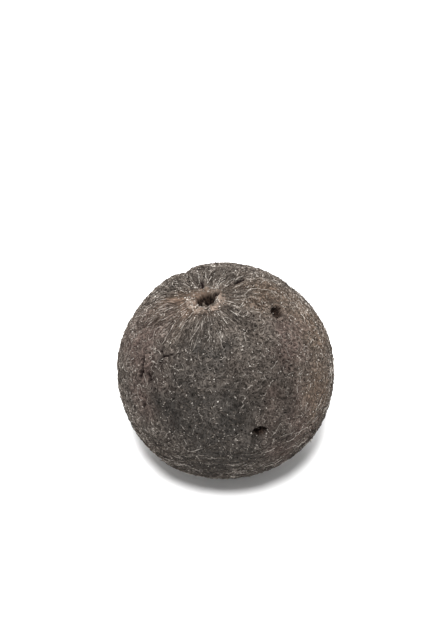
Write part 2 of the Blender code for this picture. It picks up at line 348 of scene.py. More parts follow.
# Dust in the pores, painted threads, and the grain of the dried skin. The real grain is finer
# than 0.12 mm, and is drawn as coarse as it needs to be to show.
DUST_SPREAD = (0.45, 0.62, 0.0, 1.0)
CRESTS_PALE = 0.95
WIDE_NET_PALE = 0.25
GREY_RUBBED = 0.55
THREAD_CORE = 0.4
PAINTED_THREAD_CELL = 0.50 * MM
PAINTED_THREAD_WIDTH = 0.08 * MM
PAINTED_THREAD_WANDER = 0.9 * MM
PAINTED_WANDER_LENGTH = 0.55 * MM
DUST_LENGTH = 0.22 * MM
FIBRE_MOTTLE_LENGTH = 0.24 * MM
GRAIN_LENGTH = 0.12 * MM
BUMP_DEPTH = 0.05 * MM
BUMP_STRENGTH = 0.9
LINES_OVER_GRAIN = 1.2

# The thread net: sizes, by the names of its tree's inputs.
NET_THREADS = {
    "Middle": MIDDLE,
    "Radius": (MEAN_RADIUS, MEAN_RADIUS, MEAN_RADIUS),
    "Cell": 0.50 * MM,
    "Left out": 0.32,
    "Step": 0.16 * MM,
    "Thickness": 0.10 * MM,
    "Wander": 0.85 * MM,
    "Wander pitch": 0.5 * MM,
    "Lift": 0.22 * MM,
    "Seed": 65,
}

# Its threads: most cells in a square metre, tones, how uneven their thickness is, and how long
# and how much they dip into the husk. They thin out on rubbed places.
CELLS_AT_MOST = 4e6
THREAD_TONE = (0.60, 0.94)
THREAD_UNEVEN = (0.6, 1.25)
DIP_LENGTH = 0.7 * MM
DIP_SHARE = 0.46
NET_SKIN_OPEN = 0.97
NET_RUBBED = 0.35

# The coats of fibres, in the order of the tree's inputs. Lengths are in mm, swing in radians.
# Most real fibres are thinner, and are drawn thick enough to show.
FIBRE_INPUTS = (
    "Strands per square metre", "Length", "Thickness", "Swing", "Curl", "Curl pitch",
    "Arch", "Sunk", "Stray", "Steps", "Seed",
)
FIBRE_LENGTHS = ("Length", "Thickness", "Curl", "Curl pitch", "Arch", "Sunk", "Stray")
FIBRES = {
    "fibres_fine": (2.9e6, 0.60, 0.09, 3.1, 0.85, 0.38, 0.035, 0.015, 0.0, 6, 5),
    "fibres_short": (3.0e6, 0.34, 0.11, 3.1, 0.4, 0.3, 0.035, 0.01, 0.0, 5, 35),
    "fibres_long": (2.7e6, 0.80, 0.09, 3.1, 1.0, 0.5, 0.05, 0.02, 0.0, 7, 15),
    "fibres_combed": (9e6, 1.25, 0.08, 1.2, 0.8, 0.5, 0.07, 0.01, 0.0, 7, 25),
    "fibres_ribs": (1.75e6, 1.8, 0.095, 0.5, 1.0, 0.9, 0.08, 0.01, 0.0, 14, 45),
    "fibre_ends": (0.025e6, 0.5, 0.12, 1.7, 0.5, 0.5, 0.0, 0.02, 0.36, 6, 55),
}
MATTED_COATS = ("fibres_fine", "fibres_short")

# Strands: their spacing as a share of the mean, swing and curl where they are combed, lengths
# as shares of the coat's, a curl of its own for each, and how thick their ends are.
STRAND_SPACING = 0.72
TRIES_PER_STRAND = 2.2
COMBED_SWING = 0.22
COMBED_CURL = 0.3
STRAND_LENGTHS = (0.45, 1.5)
CURLS_APART = 50.0
STRAND_END = 0.35
STRAND_SIDES = 3

# Where the coats lie. Uneven coats: the share that lies everywhere, and the length and seed
# of the patches. Ribs lie in belts: how densely, and the arc from the stem where the belt
# begins, is full, thins and ends. The last belt is on the combed side alone.
UNEVEN_COATS = {
    "fibres_fine": (0.8, 3.0 * MM, 41),
    "fibres_long": (0.7, 4.5 * MM, 43),
    "crumbs": (0.5, 3.5 * MM, 53),
}
RUBBED_OFF = 0.7
LONG_IN_COMBED = 0.3
COMBED_OFF_BARE = 0.8
STEM_BELT = (0.6, 3.0 * MM, 3.8 * MM, 6.0 * MM, 8.0 * MM)
LOW_BELT = (1.0, 16.0 * MM, 21.0 * MM, 31.0 * MM, 34.0 * MM)
SIDE_BELT = (0.35, 4.5 * MM, 6.0 * MM, 7.5 * MM, 10.0 * MM)

# Crumbs of pulp, thicker on the collar and its lumps, and some in the pores. A crumb's three
# sides are drawn between these shares of its size.
CRUMBS = {"Crumbs per square metre": 2.4e6, "Size": 0.20 * MM, "Seed": 8}
CRUMBS_ON_COLLAR = 1.5
CRUMBS_ON_BULGE = 7.0
CRUMBS_IN_PORES = 0.5
CRUMB_LEAST = (0.5, 0.4, 0.35)
CRUMB_MOST = (1.3, 0.9, 0.65)
CRUMB_TURN = (0.4, 0.4, 6.28)
CRUMB_DENT_LENGTH = 0.12 * MM
CRUMB_DENT = 0.7

# The photograph's view: its size in pixels, and where it shows the seed's middle.
PICTURE = (444, 625)
MIDDLE_IN_PICTURE = (226.0, 370.3)
OUTLINE_IN_PICTURE = 109.2
OUTLINE_RADIUS = 12.45 * MM
VIEW_ELEVATION = 48.0 * DEGREE
VIEW_DISTANCE = 150.0 * MM
FILM_LONG_SIDE = 36.0
FLOOR_SIZE = 6.0

# Round softboxes: elevation, bearing, distance, size in metres, watts.
SOFTBOXES = {
    "softbox above": (68.0 * DEGREE, 97.0 * DEGREE, 0.57, 0.5, 3.5),
    "softbox in front": (66.6 * DEGREE, -93.5 * DEGREE, 0.60, 0.11, 4.4),
}
STUDIO_LIGHT = 0.52

# Random fields: how much the waves' lengths differ, and how many stir a place or a coat.
WAVES_UNEVEN = (0.8, 1.3)
STIR_WAVES = 6
PATCH_WAVES = 7

# The skin's grid: squares along each side of a cube, drawn up a little towards the stem end,
# and how many points are compared with the net's cells at once.
SKIN_SQUARES = 128
SKIN_DRAWN_UP = 0.18
POINTS_AT_ONCE = 4000

# The nodes that work out the patterns and the coats.
MATH = "ShaderNodeMath"
VECTOR_MATH = "ShaderNodeVectorMath"
MIX = "ShaderNodeMix"
RANGE = "ShaderNodeMapRange"
NOISE = "ShaderNodeTexNoise"
ATTRIBUTE = "ShaderNodeAttribute"
RANDOM = "FunctionNodeRandomValue"
STORED = "GeometryNodeInputNamedAttribute"
STORE = "GeometryNodeStoreNamedAttribute"
MOVE = "GeometryNodeSetPosition"
SURFACE = "GeometryNodeSampleNearestSurface"
PROXIMITY = "GeometryNodeProximity"
SCATTER = "GeometryNodeDistributePointsOnFaces"

# Their settings.
OPERATIONS = ("ADD", "SUBTRACT", "MULTIPLY", "DIVIDE", "MAXIMUM", "SCALE")
ADD, SUBTRACT, MULTIPLY, DIVIDE, MAXIMUM, SCALE = ({"operation": name} for name in OPERATIONS)
NUMBER = {"data_type": "FLOAT"}
VECTOR = {"data_type": "FLOAT_VECTOR"}
SOFT = {"interpolation_type": "SMOOTHSTEP"}


def unit(v):
    v = np.asarray(v, float)
    return v / np.linalg.norm(v, axis=-1, keepdims=True)


def smooth_step(x, low, high):
    t = np.clip((x - low) / (high - low), 0.0, 1.0)
    return t * t * (3.0 - 2.0 * t)


def stem_frame():
    """The stem's direction, and the two directions square to it that bearings start from."""
    flat = math.sin(STEM_LEAN)
    across = (flat * math.cos(STEM_BEARING), flat * math.sin(STEM_BEARING))
    stem = np.array([*across, math.cos(STEM_LEAN)])
    start = unit(np.array([1.0, 0.0, 0.0]) - stem[0] * stem)
    return stem, start, np.cross(stem, start)


def direction_at(bearing_deg, polar_deg):
    """The direction from the seed's middle at a bearing and polar angle about the stem."""
    stem, start, side = stem_frame()
    bearing = math.radians(bearing_deg)
    polar = math.radians(polar_deg)
    across = math.cos(bearing) * start + math.sin(bearing) * side
    return math.cos(polar) * stem + math.sin(polar) * across


def about_stem(directions):
    """Bearing about the stem, in radians, and arc from it, in metres, of each direction."""
    stem, start, side = stem_frame()
    bearing = np.arctan2(directions @ side, directions @ start)
    arc = MEAN_RADIUS * np.arccos(np.clip(directions @ stem, -1.0, 1.0))
    return bearing, arc


def waves(points, length, count, seed):
    """A smooth random field of about -1 to 1: plane waves of about one length, summed."""
    rng = np.random.default_rng(seed)
    total = np.zeros(len(points))
    for _ in range(count):
        heading = unit(rng.normal(size=3))
        pitch = 2.0 * math.pi / (length * rng.uniform(*WAVES_UNEVEN))
        total += np.sin(points @ heading * pitch + rng.uniform(0.0, 2.0 * math.pi))
    return total / math.sqrt(count)


def stirred(points, length, reach, seed):
    """The points moved about by smooth random fields of one length."""
    stir = [waves(points, length, STIR_WAVES, seed=seed + axis) for axis in range(3)]
    return points + reach * np.stack(stir, axis=1)


def body(directions):
    """The smooth body's radius in each direction: an ellipsoid with swellings and low waves."""
    half = np.array([BODY_WIDTH, BODY_DEPTH, BODY_HEIGHT]) / 2
    smooth = 1.0 / np.sqrt(((directions / half) ** 2).sum(axis=1))
    for bearing, polar, height in SWELLINGS:
        away = np.linalg.norm(directions - direction_at(bearing, polar), axis=1) * MEAN_RADIUS
        smooth += height * np.exp(-((away / SWELLING_WIDTH) ** 2))
    return smooth + WAVE_HEIGHT * waves(directions * MEAN_RADIUS, WAVE_LENGTH, WAVE_COUNT, seed=3)


def dimple(arc):
    return -DIMPLE_DEPTH * np.exp(-((arc / DIMPLE_RADIUS) ** 2))


def bunched(count, bearing, sway, times):
    return np.cos(count * bearing + sway * np.sin(times * bearing))


def collar(bearing, arc):
    """A puckered ring of lumps round the stem's pore, with small gathers across it."""
    lumps = bunched(COLLAR_LUMPS, bearing, *COLLAR_LUMP_SWAY)
    height = COLLAR_HEIGHT * (1.0 - COLLAR_LUMP_SHARE * (1.0 - lumps))
    height += COLLAR_PUCKER_HEIGHT * bunched(COLLAR_PUCKERS, bearing, *COLLAR_PUCKER_SWAY)
    radius = COLLAR_RADIUS + COLLAR_BULGE * np.cos(bearing - COLLAR_BULGE_BEARING)
    return height * np.exp(-(((arc - radius) / COLLAR_WIDTH) ** 2))


def pleats(bearing, arc):
    """Folds combed outwards from the collar, uneven in width and height."""
    turned = bearing + PLEAT_SWAY * np.sin(PLEAT_SWAY_TIMES * bearing + PLEAT_SWAY_START)
    turned += PLEAT_BEND * np.sin(arc / PLEAT_BEND_LENGTH + PLEAT_BEND_TIMES * bearing)
    dips = 1.0 - np.sin(PLEAT_UNEVEN_TIMES * bearing + arc / PLEAT_UNEVEN_LENGTH)
    uneven = 1.0 - PLEAT_UNEVEN * dips
    shown = smooth_step(arc, PLEAT_START, PLEAT_FULL)
    shown *= 1.0 - smooth_step(arc, PLEAT_FADE, PLEAT_END)
    return PLEAT_HEIGHT * np.cos(PLEAT_COUNT * turned) * uneven * shown


def furrows(bearing, arc):
    """Shallow valleys from the stem end down, each with a crease, deepest near the top."""
    total = np.zeros(len(arc))
    girth = MEAN_RADIUS * np.sin(arc / MEAN_RADIUS)
    shown = smooth_step(arc, FURROW_START, FURROW_FULL)
    shown *= 1.0 - FURROW_FADE * smooth_step(arc, FURROW_FADE_START, FURROW_FADE_END)
    shown *= 1.0 - smooth_step(arc, FURROW_TAIL, FURROW_END)
    for number, (degrees, share) in enumerate(FURROWS):
        phase = arc / FURROW_WANDER_LENGTH + FURROW_WANDER_TURN * number + FURROW_WANDER_START
        wander = FURROW_WANDER * np.sin(phase) * smooth_step(arc, FURROW_START, 2.0 * FURROW_FULL)
        turn = np.angle(np.exp(1j * (bearing - math.radians(degrees))))
        across = girth * turn - wander
        valley = FURROW_DEPTH * np.exp(-((across / FURROW_WIDTH) ** 2))
        crease = CREASE_DEPTH * np.exp(-((across / CREASE_WIDTH) ** 2))
        total -= share * (valley + crease) * shown * (np.abs(turn) < math.pi / 2)
    return total


def pore_rings(directions):
    """For each pore, how far each direction is from its middle: 1 is its edge."""
    rings = []
    for bearing, polar, half_length, half_width, turn, _ in PORES:
        centre = direction_at(bearing, polar)
        along = unit(np.cross(centre, direction_at(bearing + 90.0, 90.0)))
        beside = np.cross(centre, along)
        angle = math.radians(turn)
        offset = (directions - centre) * MEAN_RADIUS
        x = offset @ (math.cos(angle) * along + math.sin(angle) * beside)
        y = offset @ (math.cos(angle) * beside - math.sin(angle) * along)
        behind = directions @ centre < 0.0
        ring = np.hypot(x / (half_length * MM), y / (half_width * MM))
        rings.append(np.where(behind, BEHIND, ring))
    return rings


def pores(directions):
    """Steep-walled round pits, each with a low lip."""
    total = np.zeros(len(directions))
    for ring, pore in zip(pore_rings(directions), PORES):
        total -= pore[-1] * MM * (1.0 - smooth_step(ring, 1.0 - PORE_WALL, 1.0 + PORE_WALL))
        total += PORE_LIP_HEIGHT * np.exp(-(((ring - PORE_LIP_RING) / PORE_LIP_WIDTH) ** 2))
    return total


def stem_grain(directions):
    """The broken end of the stem's bundle, a small stub on the stem pore's floor."""
    away = np.linalg.norm(directions - direction_at(*GRAIN_PLACE), axis=1) * MEAN_RADIUS
    return GRAIN_HEIGHT * (1.0 - smooth_step(away, GRAIN_FLAT * GRAIN_RADIUS, GRAIN_RADIUS))


def from_line(points, first, last):
    """How far along the line between two bearing and polar pairs each point is, from 0 to 1,
    and how far it is from that line."""
    start = MEAN_RADIUS * direction_at(*first)
    run = MEAN_RADIUS * direction_at(*last) - start
    along = np.clip((points - start) @ run / (run @ run), 0.0, 1.0)
    return along, np.linalg.norm(points - start - along[:, None] * run, axis=1)


def clear_ground(directions):
    """From 0 at a crack or a pore to 1 where fibres may lie again."""
    points = directions * MEAN_RADIUS
    nearest = np.min([from_line(points, first, last)[1] for first, last, _, _ in CRACKS], axis=0)
    ring = np.min(pore_rings(directions), axis=0)
    return smooth_step(nearest, CLEAR_FROM, CLEAR_TO) * smooth_step(ring, CLEAR_RING_FROM, CLEAR_RING_TO)


def cracks(directions):
    """Narrow grooves with pointed ends."""
    total = np.zeros(len(directions))
    points = directions * MEAN_RADIUS
    for first, last, half_width, depth in CRACKS:
        along, away = from_line(points, first, last)
        rounded = np.sqrt(np.clip(1.0 - (2.0 * along - 1.0) ** 2, 0.0, 1.0))
        taper = CRACK_END_SHARE + (1.0 - CRACK_END_SHARE) * rounded
        floor = CRACK_FLOOR * (half_width * MM)
        wall = smooth_step(away, floor, CRACK_MOUTH * (half_width * MM) * taper)
        total = np.minimum(total, -(depth * MM) * taper * (1.0 - wall))
    return total


def net_middles():
    """The middles of the net's cells: points spread evenly over the sphere, then stirred."""
    cell_area = math.sqrt(3.0) / 2 * NET_CELL**2
    count = round(4.0 * math.pi * MEAN_RADIUS**2 / cell_area)
    rng = np.random.default_rng(NET_SEED)
    step = np.arange(count) + 0.5
    height = 1.0 - 2.0 * step / count
    turn = math.pi * (1.0 + math.sqrt(5.0)) * step
    ring = np.sqrt(1.0 - height**2)
    even = np.stack([ring * np.cos(turn), ring * np.sin(turn), height], axis=1)
    stir = rng.normal(scale=NET_STIR * NET_CELL, size=even.shape)
    return unit(even * MEAN_RADIUS + stir) * MEAN_RADIUS


def wide_net(directions, arc):
    """Ridges along the lines that lie midway between neighbouring cells, from 0 to 1."""
    points = stirred(directions * MEAN_RADIUS, NET_WARP_LENGTH, NET_WARP, seed=20)
    middles = net_middles()
    ridge = np.empty(len(points))
    for some in np.array_split(np.arange(len(points)), len(points) // POINTS_AT_ONCE + 1):
        square = ((points[some, None, :] - middles[None, :, :]) ** 2).sum(axis=2)
        nearest = np.sqrt(np.partition(square, 1, axis=1)[:, :2])
        ridge[some] = np.exp(-(((nearest[:, 1] - nearest[:, 0]) / NET_RIDGE_WIDTH) ** 2))
    return ridge * smooth_step(arc, NET_START, NET_FULL)


def store(mesh, name, values):
    """Keeps one number or one vector for each point of a mesh, under a name."""
    vectors = values.ndim == 2
    attribute = mesh.attributes.new(name, "FLOAT_VECTOR" if vectors else "FLOAT", "POINT")
    attribute.data.foreach_set("vector" if vectors else "value", values.astype(np.float32).ravel())


def ball_of_squares():
    """A cube's grid of squares. Its points are spread over a sphere by skin_directions."""
    mesh = bpy.data.meshes.new("husk")
    ball = bmesh.new()
    bmesh.ops.create_cube(ball, size=2.0)
    bmesh.ops.subdivide_edges(ball, edges=ball.edges[:], cuts=SKIN_SQUARES - 1, use_grid_fill=True)
    ball.to_mesh(mesh)
    ball.free()
    return mesh


def skin_directions(mesh):
    """Directions of the grid's points, even over the sphere and a little finer at the top."""
    flat = np.empty(len(mesh.vertices) * 3, np.float32)
    mesh.vertices.foreach_get("co", flat)
    even = unit(np.tan(flat.reshape(-1, 3) * math.pi / 4))
    return unit(even + SKIN_DRAWN_UP * np.array([0.0, 0.0, 1.0]))


def patch(points, bearing, polar, radius):
    """A soft spot, from 1 at its middle to 0 well outside its radius."""
    away = np.linalg.norm(points - MEAN_RADIUS * direction_at(bearing, polar), axis=1)
    return np.exp(-((away / (radius * MM)) ** 2))


def patches(directions, places):
    """Soft-edged, ragged patches round the given places, from 0 to 1."""
    points = stirred(directions * MEAN_RADIUS, STAIN_STIR_LENGTH, STAIN_STIR, seed=70)
    return np.max([patch(points, *place) for place in places], axis=0)


def painted_light_and_soil_factor(directions):
    """How much lighter or darker the husk is painted than its own colour, as a factor: painted light and
    shade mixed with soiling.
    """
    points = stirred(directions * MEAN_RADIUS, STAIN_STIR_LENGTH, STAIN_STIR, seed=80)
    total = np.zeros(len(points))
    for *place, amount in PAINTED_LIGHT_AND_SOIL:
        total += amount * patch(points, *place)
    return HUSK_TONE * np.exp(total)


def form_skin(mesh):
    """Gives the grid the seed's form, and stores what the net and the finish read."""
    directions = skin_directions(mesh)
    bearing, arc = about_stem(directions)
    ragged = unit(stirred(directions * MEAN_RADIUS, RAGGED_LENGTH, RAGGED, seed=50))
    pits = pores(ragged)
    slits = cracks(ragged)
    hollow = pits + stem_grain(ragged) + slits
    valleys = furrows(bearing, arc)
    open_skin = 1.0 - smooth_step(-hollow, RELIEF_BURIED_FROM, RELIEF_BURIED_AT)
    net = wide_net(directions, arc)
    relief = NET_HEIGHT * net + pleats(bearing, arc) + collar(bearing, arc)
    radius = body(directions) + dimple(arc) + valleys + relief * open_skin + hollow
    points = directions * radius[:, None] + np.array(MIDDLE)
    points[:, 2] = np.maximum(points[:, 2], 0.0)
    mesh.vertices.foreach_set("co", points.astype(np.float32).ravel())
    mesh.update()

    # Coordinates for the patterns, and the direction in which fibres lie.
    stem = stem_frame()[0]
    rest = directions * MEAN_RADIUS
    stretched = rest - MERIDIAN_STRETCH * (rest @ stem)[:, None] * stem
    combed = (COMB_RADIUS * np.cos(bearing), COMB_RADIUS * np.sin(bearing), arc / COMB_STRETCH)
    downward = unit(directions * (directions @ stem)[:, None] - stem + NEVER_ZERO)
    low = smooth_step(arc, LAID_ACROSS_FROM, LAID_ACROSS_AT)
    across = np.cross(downward, directions)
    lie = unit((1.0 - low)[:, None] * downward + low[:, None] * across)
    on_collar = 1.0 - smooth_step(arc, ON_COLLAR_TO, OFF_COLLAR_FROM)
    reach = 1.0 + COMB_SIDE * np.cos(bearing - COMB_SIDE_BEARING)
    tangle = np.maximum(smooth_step(arc / reach, COMB_FADE, COMB_END), on_collar)

    # The collar's crest, its bulging side, and a shadow line painted just outside it, on one side.
    from_crest = arc - COLLAR_RADIUS - COLLAR_BULGE * np.cos(bearing - COLLAR_BULGE_BEARING)
    crest = np.exp(-((from_crest / COLLAR_WIDTH) ** 2))
    painted_collar_shadow = np.exp(-(((from_crest - COLLAR_SHADOW_OUTSIDE) / COLLAR_SHADOW_WIDTH) ** 2))
    marks = {
        "rest": stretched,
        "combed": np.stack(combed, axis=1),
        "out": directions,
        "lie": lie,
        "tangle": tangle,
        "combed_side": smooth_step(np.cos(bearing - COMB_SIDE_BEARING), *ONE_SIDE),
        "spread": tangle * (1.0 - LAID_ACROSS_TIDY * low),
        "arc": arc,
        "open_skin": open_skin * smooth_step(points[:, 2], 0.0, FOOT_CLEAR),
        "clear": clear_ground(directions),
        "wide_net": net,
        "stub": stem_grain(directions) / GRAIN_HEIGHT,
        # Painted shade in the pores, cracks and furrows, darker where they are deeper.
        "hollow": smooth_step(-pits, *PORE_SHADE_DEPTHS),
        "crack": smooth_step(-slits, *CRACK_SHADE_DEPTHS),
        "valley": smooth_step(-valleys, *FURROW_SHADE_DEPTHS),
        "grey": patches(directions, GREY_STAINS),
        "tan": patches(directions, TAN_STAINS),
        "shade": painted_light_and_soil_factor(directions),
        "purple": patches(directions, PURPLE_STAINS),
        "bare": patches(directions, (BARE_SLOPE,)),
        "collar_tint": np.exp(-(((arc - COLLAR_RADIUS) / COLLAR_TINT_WIDTH) ** 2)),
        "off_collar": smooth_step(arc, LONG_FIBRES_FROM, LONG_FIBRES_AT),
        "collar_crest": crest,
        "collar_bulge": crest * smooth_step(np.cos(bearing - COLLAR_BULGE_BEARING), *ONE_SIDE),
        "painted_collar_shadow": painted_collar_shadow * smooth_step(np.cos(bearing - COLLAR_SHADOW_BEARING), *COLLAR_SHADOW_SIDE),
    }
    for name, values in marks.items():
        store(mesh, name, values)


def add_node(tree, kind, inputs=(), **settings):
    """Adds a node with its settings, fills its open input sockets, by place or by name, with
    values or with other nodes' outputs, and returns its first open output."""
    node = tree.nodes.new(kind)
    for name, value in settings.items():
        setattr(node, name, value)
    sockets = [socket for socket in node.inputs if socket.enabled]
    named = inputs.items() if isinstance(inputs, dict) else enumerate(inputs)
    for key, value in named:
        if value is None:
            continue
        socket = next(s for s in sockets if s.name == key) if isinstance(key, str) else sockets[key]
        if isinstance(value, bpy.types.NodeSocket):
            tree.links.new(value, socket)
        else:
            socket.default_value = value
    return next(socket for socket in node.outputs if socket.enabled)


def new_tree(name, inputs):
    """A Geometry Nodes tree with a geometry in and out and these named inputs."""
    tree = bpy.data.node_groups.new(name, "GeometryNodeTree")
    tree.interface.new_socket("Geometry", in_out="INPUT", socket_type="NodeSocketGeometry")
    tree.interface.new_socket("Geometry", in_out="OUTPUT", socket_type="NodeSocketGeometry")
    for label, kind in inputs.items():
        tree.interface.new_socket(label, in_out="INPUT", socket_type="NodeSocket" + kind)
    return tree, tree.nodes.new("NodeGroupInput").outputs, partial(add_node, tree)


def end_tree(tree, geometry, material):
    """The tree's end: its copies made real, and its material set."""
    real = add_node(tree, "GeometryNodeRealizeInstances", (geometry,))
    smooth = add_node(tree, "GeometryNodeSetShadeSmooth", (real,))
    done = add_node(tree, "GeometryNodeSetMaterial", {"Geometry": smooth, "Material": material})
    output = tree.nodes.new("NodeGroupOutput")
    tree.links.new(done, output.inputs[0])
    return tree


def end_in_strands(tree, curves, thickness, material):
    """The end of a tree of strands or threads: a narrow tube along each, with closed ends."""
    ring = {"Resolution": STRAND_SIDES, "Radius": 0.5}
    profile = add_node(tree, "GeometryNodeCurvePrimitiveCircle", ring)
    tube = {"Curve": curves, "Profile Curve": profile, "Scale": thickness, "Fill Caps": True}
    return end_tree(tree, add_node(tree, "GeometryNodeCurveToMesh", tube), material)


def placed(name, data):
    thing = bpy.data.objects.new(name, data)
    bpy.context.scene.collection.objects.link(thing)
    return thing


def grown(name, mesh, tree, values):
    """A piece with a plain mesh: the given mesh put through the tree with these values."""
    piece = placed(name, mesh)
    modifier = piece.modifiers.new(name, "NODES")
    modifier.node_group = tree
    for item in tree.interface.items_tree:
        if item.in_out == "INPUT" and item.name in values:
            modifier[item.identifier] = values[item.name]
    graph = bpy.context.evaluated_depsgraph_get()
    plain = bpy.data.meshes.new_from_object(
        piece.evaluated_get(graph), preserve_all_data_layers=True, depsgraph=graph
    )
    piece.modifiers.remove(modifier)
    piece.data = plain
    plain.name = name
    return piece


def wandering(add, noise, reach):
    """How far a noise pushes each place to and fro, in all three directions."""
    centred = add(VECTOR_MATH, (noise.node.outputs["Color"], (NOISE_MEAN,) * 3), **SUBTRACT)
    return add(VECTOR_MATH, (centred, reach), **SCALE)


def curly_ridges(add, coordinates, pitch, width, shift=0.0):
    """Worm-like ridges, from 0 to 1: the lines along which a smooth noise crosses its mean."""
    per_metre = add(MATH, (1.0, pitch), **DIVIDE)
    moved = add(VECTOR_MATH, (coordinates, (shift, shift, shift)))
    curls = {"Detail": 1.0, "Roughness": CURL_ROUGHNESS, "Distortion": CURL_DISTORTION}
    noise = add(NOISE, {"Vector": moved, "Scale": per_metre, **curls})
    away = add(MATH, (add(MATH, (noise, NOISE_MEAN), **SUBTRACT),), operation="ABSOLUTE")
    return add(RANGE, (away, 0.0, width, 1.0, 0.0), **SOFT)


def netted(add, rest, combed, tangle, pitch, comb_pitch, width):
    """The curly net: combed ridges near the stem, and two tangled layers further off."""
    radial = curly_ridges(add, combed, comb_pitch, width)
    first = curly_ridges(add, rest, pitch, width)
    second = curly_ridges(add, rest, pitch, width, shift=SECOND_SHIFT)
    free = add(MATH, (first, add(MATH, (second, SECOND_CURLS), **MULTIPLY)), **MAXIMUM)
    return add(MIX, (tangle, radial, free))


def curly_net_tree():
    """Raises the curly net on the husk's skin, lower in patches and not in pores or cracks."""
    sizes = ("Pitch", "Combed pitch", "Ridge width", "Ridge height")
    tree, given, add = new_tree("curly net", {**dict.fromkeys(sizes, "Float"), "Material": "Material"})
    rest, combed, out = (add(STORED, (name,), **VECTOR) for name in ("rest", "combed", "out"))
    tangle, open_skin = (add(STORED, (name,), **NUMBER) for name in ("tangle", "open_skin"))
    ridges = netted(add, rest, combed, tangle, *(given[size] for size in sizes[:3]))
    patches_here = add(NOISE, (rest, 1 / RIDGE_PATCH, 1.0))
    uneven = add(RANGE, (patches_here, *RIDGE_UNEVEN))
    shown = add(MATH, (ridges, uneven), **MULTIPLY)
    outside = add(MATH, (shown, open_skin), **MULTIPLY)
    height = add(MATH, (outside, given["Ridge height"]), **MULTIPLY)
    offset = add(VECTOR_MATH, (out, height), **SCALE)
    raised = add(MOVE, {"Geometry": given["Geometry"], "Offset": offset})
    return end_tree(tree, raised, given["Material"])


def strand_tree():
    """Fibres that lie on the husk: short curled strands with their ends sunk into it. They
    grow where "cover" is high, point downward from the stem, and swing more where "spread"
    is high."""
    kinds = {name: "Int" if name in ("Steps", "Seed") else "Float" for name in FIBRE_INPUTS}
    tree, given, add = new_tree("strands", {**kinds, "Material": "Material"})
    husk = given["Geometry"]
    density = given["Strands per square metre"]
    marks = ("cover", "spread", "strand", "open_skin")
    cover, spread, strand, open_skin = (add(STORED, (name,), **NUMBER) for name in marks)
    lie, out = (add(STORED, (name,), **VECTOR) for name in ("lie", "out"))
    drawn = []
    for shift, low, high in ((1, -1.0, 1.0), (2, *STRAND_LENGTHS), (3, 0.0, 1.0)):
        seed = add(MATH, (given["Seed"], shift), **ADD)
        drawn.append(add(RANDOM, {"Min": low, "Max": high, "Seed": seed}))
    turned, lengthened, tone = drawn

    # Strands start as straight lines on scattered points, turned about the husk's normal.
    apart = add(MATH, (STRAND_SPACING, add(MATH, (density,), operation="SQRT")), **DIVIDE)
    most = add(MATH, (density, TRIES_PER_STRAND), **MULTIPLY)
    scatter = {"Distance Min": apart, "Density Max": most, "Density Factor": cover, "Seed": given["Seed"]}
    points = add(SCATTER, {"Mesh": husk, **scatter}, distribute_method="POISSON")
    normal = points.node.outputs["Normal"]
    swing = add(MIX, (spread, COMBED_SWING, given["Swing"]))
    angle = add(MATH, (turned, swing), **MULTIPLY)
    heading = {"Vector": lie, "Axis": normal, "Angle": angle}
    heading = add("ShaderNodeVectorRotate", heading, rotation_type="AXIS_ANGLE")
    turn = add("FunctionNodeAxesToRotation", (normal, heading), primary_axis="Z", secondary_axis="X")
    line = add("GeometryNodeCurvePrimitiveLine", ((-0.5, 0.0, 0.0), (0.5, 0.0, 0.0)))
    steps = add("GeometryNodeResampleCurve", {"Curve": line, "Count": given["Steps"]})
    toned = {"Geometry": points, "Name": "strand", "Value": tone}
    toned = add(STORE, toned, **NUMBER, domain="POINT")
    length = add(MATH, (given["Length"], lengthened), **MULTIPLY)
    laid = {"Points": toned, "Instance": steps, "Rotation": turn, "Scale": length}
    laid = add("GeometryNodeInstanceOnPoints", laid)
    curves = add("GeometryNodeRealizeInstances", (laid,))

    # A noise of its own curls each strand.
    here = add("GeometryNodeInputPosition")
    own = add(MATH, (strand, CURLS_APART), **MULTIPLY)
    per_metre = add(MATH, (1.0, given["Curl pitch"]), **DIVIDE)
    drift = add(NOISE, (here, own, per_metre, 0.0), noise_dimensions="4D")
    reach = add(MATH, (given["Curl"], add(MIX, (spread, COMBED_CURL, 1.0))), **MULTIPLY)
    curled = add(MOVE, {"Geometry": curves, "Offset": wandering(add, drift, reach)})

    # The curled strand is laid back on the husk, arched, with its ends sunk in and thinned.
    along = add("GeometryNodeSplineParameter")
    swell = add(MATH, (add(MATH, (along, math.pi), **MULTIPLY),), operation="SINE")
    landing = add(PROXIMITY, {"Geometry": husk, "Sample Position": here}, target_element="FACES")
    up = add(SURFACE, {"Mesh": husk, "Value": out, "Sample Position": here}, **VECTOR)
    shown = add(SURFACE, {"Mesh": husk, "Value": open_skin, "Sample Position": here}, **NUMBER)
    arched = add(MATH, (swell, given["Arch"]), **MULTIPLY)
    lift = add(MATH, (arched, given["Sunk"]), **SUBTRACT)
    height = add(MATH, (lift, add(MATH, (along, given["Stray"]), **MULTIPLY)), **ADD)
    offset = add(VECTOR_MATH, (up, height), **SCALE)
    settled = add(MOVE, {"Geometry": curled, "Position": landing, "Offset": offset})
    fullness = add(RANGE, (swell, 0.0, 1.0, STRAND_END, 1.0))
    full = add(MATH, (fullness, given["Thickness"]), **MULTIPLY)
    thickness = add(MATH, (full, shown), **MULTIPLY)
    return end_in_strands(tree, settled, thickness, given["Material"])


